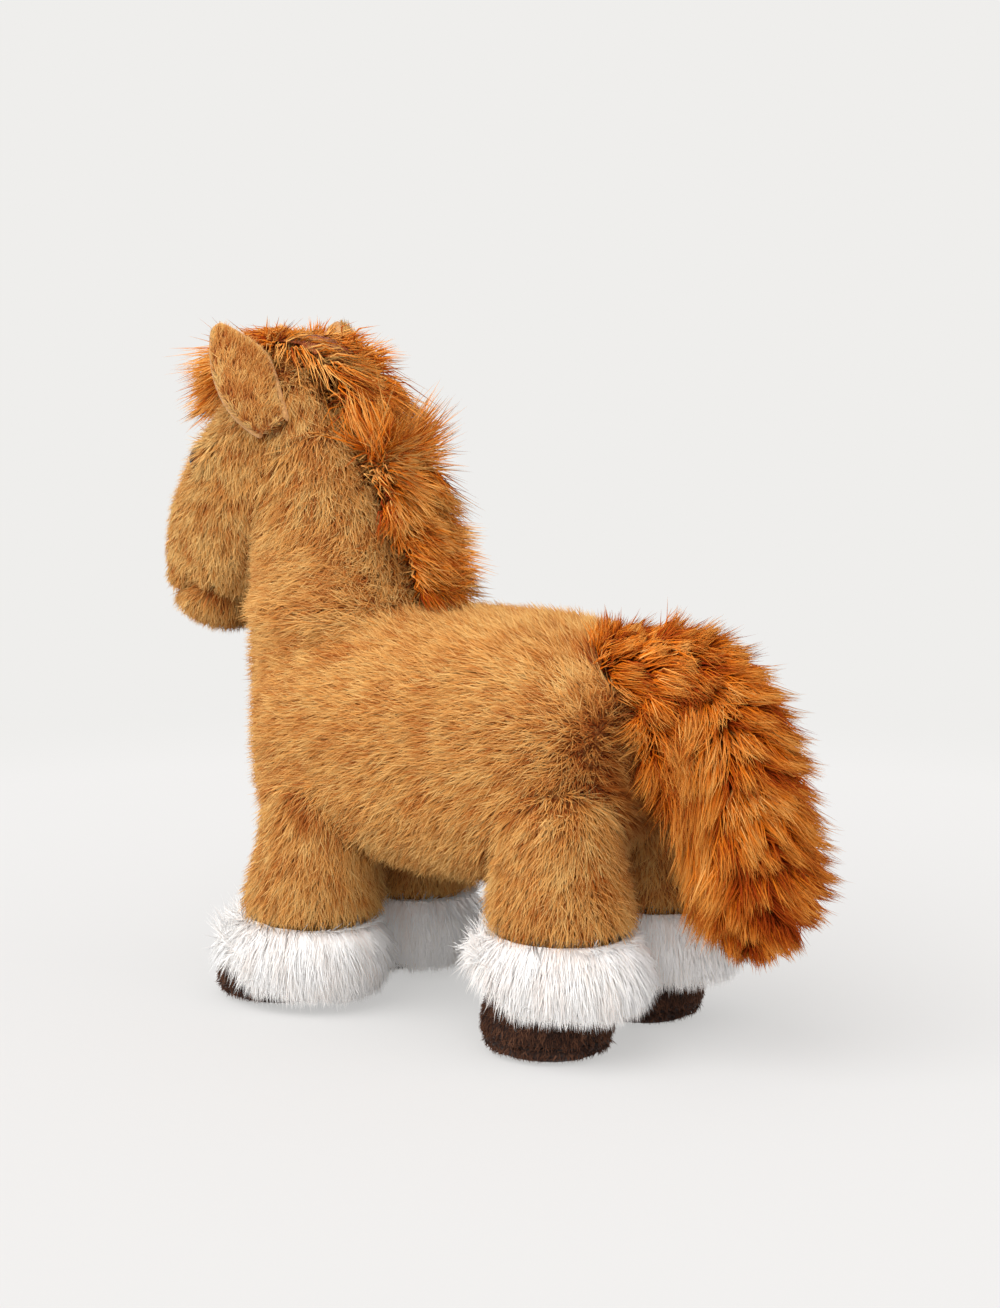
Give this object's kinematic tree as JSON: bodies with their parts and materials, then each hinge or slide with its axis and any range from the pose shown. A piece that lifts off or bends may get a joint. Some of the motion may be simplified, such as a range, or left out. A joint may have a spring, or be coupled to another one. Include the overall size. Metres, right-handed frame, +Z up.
{
  "type": "plush horse",
  "caption": "Standing plush horse with short pile body, long pile mane and tail, white fluffy cuffs, dark hooves, and limp stuffed seams at the neck, head, ears, tail and legs.",
  "frame": {"origin": "on the floor, under the middle of the horse's outline", "axes": "+Z up; the horse faces -Y, so Y is its length; +X is the horse's left side, and X is its width"},
  "size_m": [0.1234, 0.3048, 0.2704],
  "materials": {
    "tan_plush": "dense short plush pile",
    "rust_pile": "long tufted pile",
    "white_pile": "long fluffy pile",
    "brown_plush": "very short plush",
    "ear_cloth": "smooth pale plush",
    "fibre_filling": "loose polyester fibre",
    "eye_plastic": "polished",
    "washer_plastic": "plain moulded"
  },
  "bodies": {
    "body": {"body_skin": "tan_plush", "body_filling": "fibre_filling"},
    "neck": {"neck_skin": "tan_plush", "neck_filling": "fibre_filling", "mane": "rust_pile"},
    "head": {"head_skin": "tan_plush", "head_filling": "fibre_filling", "forelock": "rust_pile", "eye_left": "eye_plastic", "eye_right": "eye_plastic", "eye_washer_left": "washer_plastic", "eye_washer_right": "washer_plastic"},
    "ear_left": {"ear_back_left": "tan_plush", "ear_lining_left": "ear_cloth"},
    "ear_right": {"ear_back_right": "tan_plush", "ear_lining_right": "ear_cloth"},
    "tail": {"tail_skin": "rust_pile", "tail_filling": "fibre_filling"},
    "leg_front_left": {"leg_skin_front_left": "tan_plush", "cuff_front_left": "white_pile", "hoof_front_left": "brown_plush", "sole_front_left": "brown_plush", "leg_filling_front_left": "fibre_filling"},
    "leg_front_right": {"leg_skin_front_right": "tan_plush", "cuff_front_right": "white_pile", "hoof_front_right": "brown_plush", "sole_front_right": "brown_plush", "leg_filling_front_right": "fibre_filling"},
    "leg_hind_left": {"leg_skin_hind_left": "tan_plush", "cuff_hind_left": "white_pile", "hoof_hind_left": "brown_plush", "sole_hind_left": "brown_plush", "leg_filling_hind_left": "fibre_filling"},
    "leg_hind_right": {"leg_skin_hind_right": "tan_plush", "cuff_hind_right": "white_pile", "hoof_hind_right": "brown_plush", "sole_hind_right": "brown_plush", "leg_filling_hind_right": "fibre_filling"}
  },
  "joints": [
    {"name": "neck_twist", "type": "hinge", "parent": "body", "child": "neck", "pos_m": [0, -0.06032, 0.156], "axis": [0, 0, 1], "range_deg": [-20, 20], "stiffness_Nm_per_rad": 0.4},
    {"name": "head_nod", "type": "hinge", "parent": "neck", "child": "head", "pos_m": [0, -0.08602, 0.228], "axis": [-1, 0, 0], "range_deg": [-4, 10], "stiffness_Nm_per_rad": 0.5, "springref_deg": 1.72},
    {"name": "tail_lift", "type": "hinge", "parent": "body", "child": "tail", "pos_m": [0, 0.07668, 0.143], "axis": [1, 0, 0], "range_deg": [0, 45], "stiffness_Nm_per_rad": 0.2},
    {"name": "ear_left_flop", "type": "hinge", "parent": "head", "child": "ear_left", "pos_m": [0.029, -0.07732, 0.2335], "axis": [0.8555, -0.3208, -0.4064], "range_deg": [-8, 12], "stiffness_Nm_per_rad": 0.03},
    {"name": "ear_right_flop", "type": "hinge", "parent": "head", "child": "ear_right", "pos_m": [-0.029, -0.07732, 0.2335], "axis": [0.8555, 0.3208, 0.4064], "range_deg": [-8, 12], "stiffness_Nm_per_rad": 0.03},
    {"name": "leg_front_left_swing", "type": "hinge", "parent": "body", "child": "leg_front_left", "pos_m": [0.0315, -0.05332, 0.075], "axis": [-1, 0, 0], "range_deg": [-12, 12], "stiffness_Nm_per_rad": 0.6},
    {"name": "leg_front_right_swing", "type": "hinge", "parent": "body", "child": "leg_front_right", "pos_m": [-0.0315, -0.05332, 0.075], "axis": [-1, 0, 0], "range_deg": [-12, 12], "stiffness_Nm_per_rad": 0.6},
    {"name": "leg_hind_left_swing", "type": "hinge", "parent": "body", "child": "leg_hind_left", "pos_m": [0.0315, 0.06268, 0.08], "axis": [-1, 0, 0], "range_deg": [-5, 12], "stiffness_Nm_per_rad": 0.6},
    {"name": "leg_hind_right_swing", "type": "hinge", "parent": "body", "child": "leg_hind_right", "pos_m": [-0.0315, 0.06268, 0.08], "axis": [-1, 0, 0], "range_deg": [-5, 12], "stiffness_Nm_per_rad": 0.6}
  ]
}
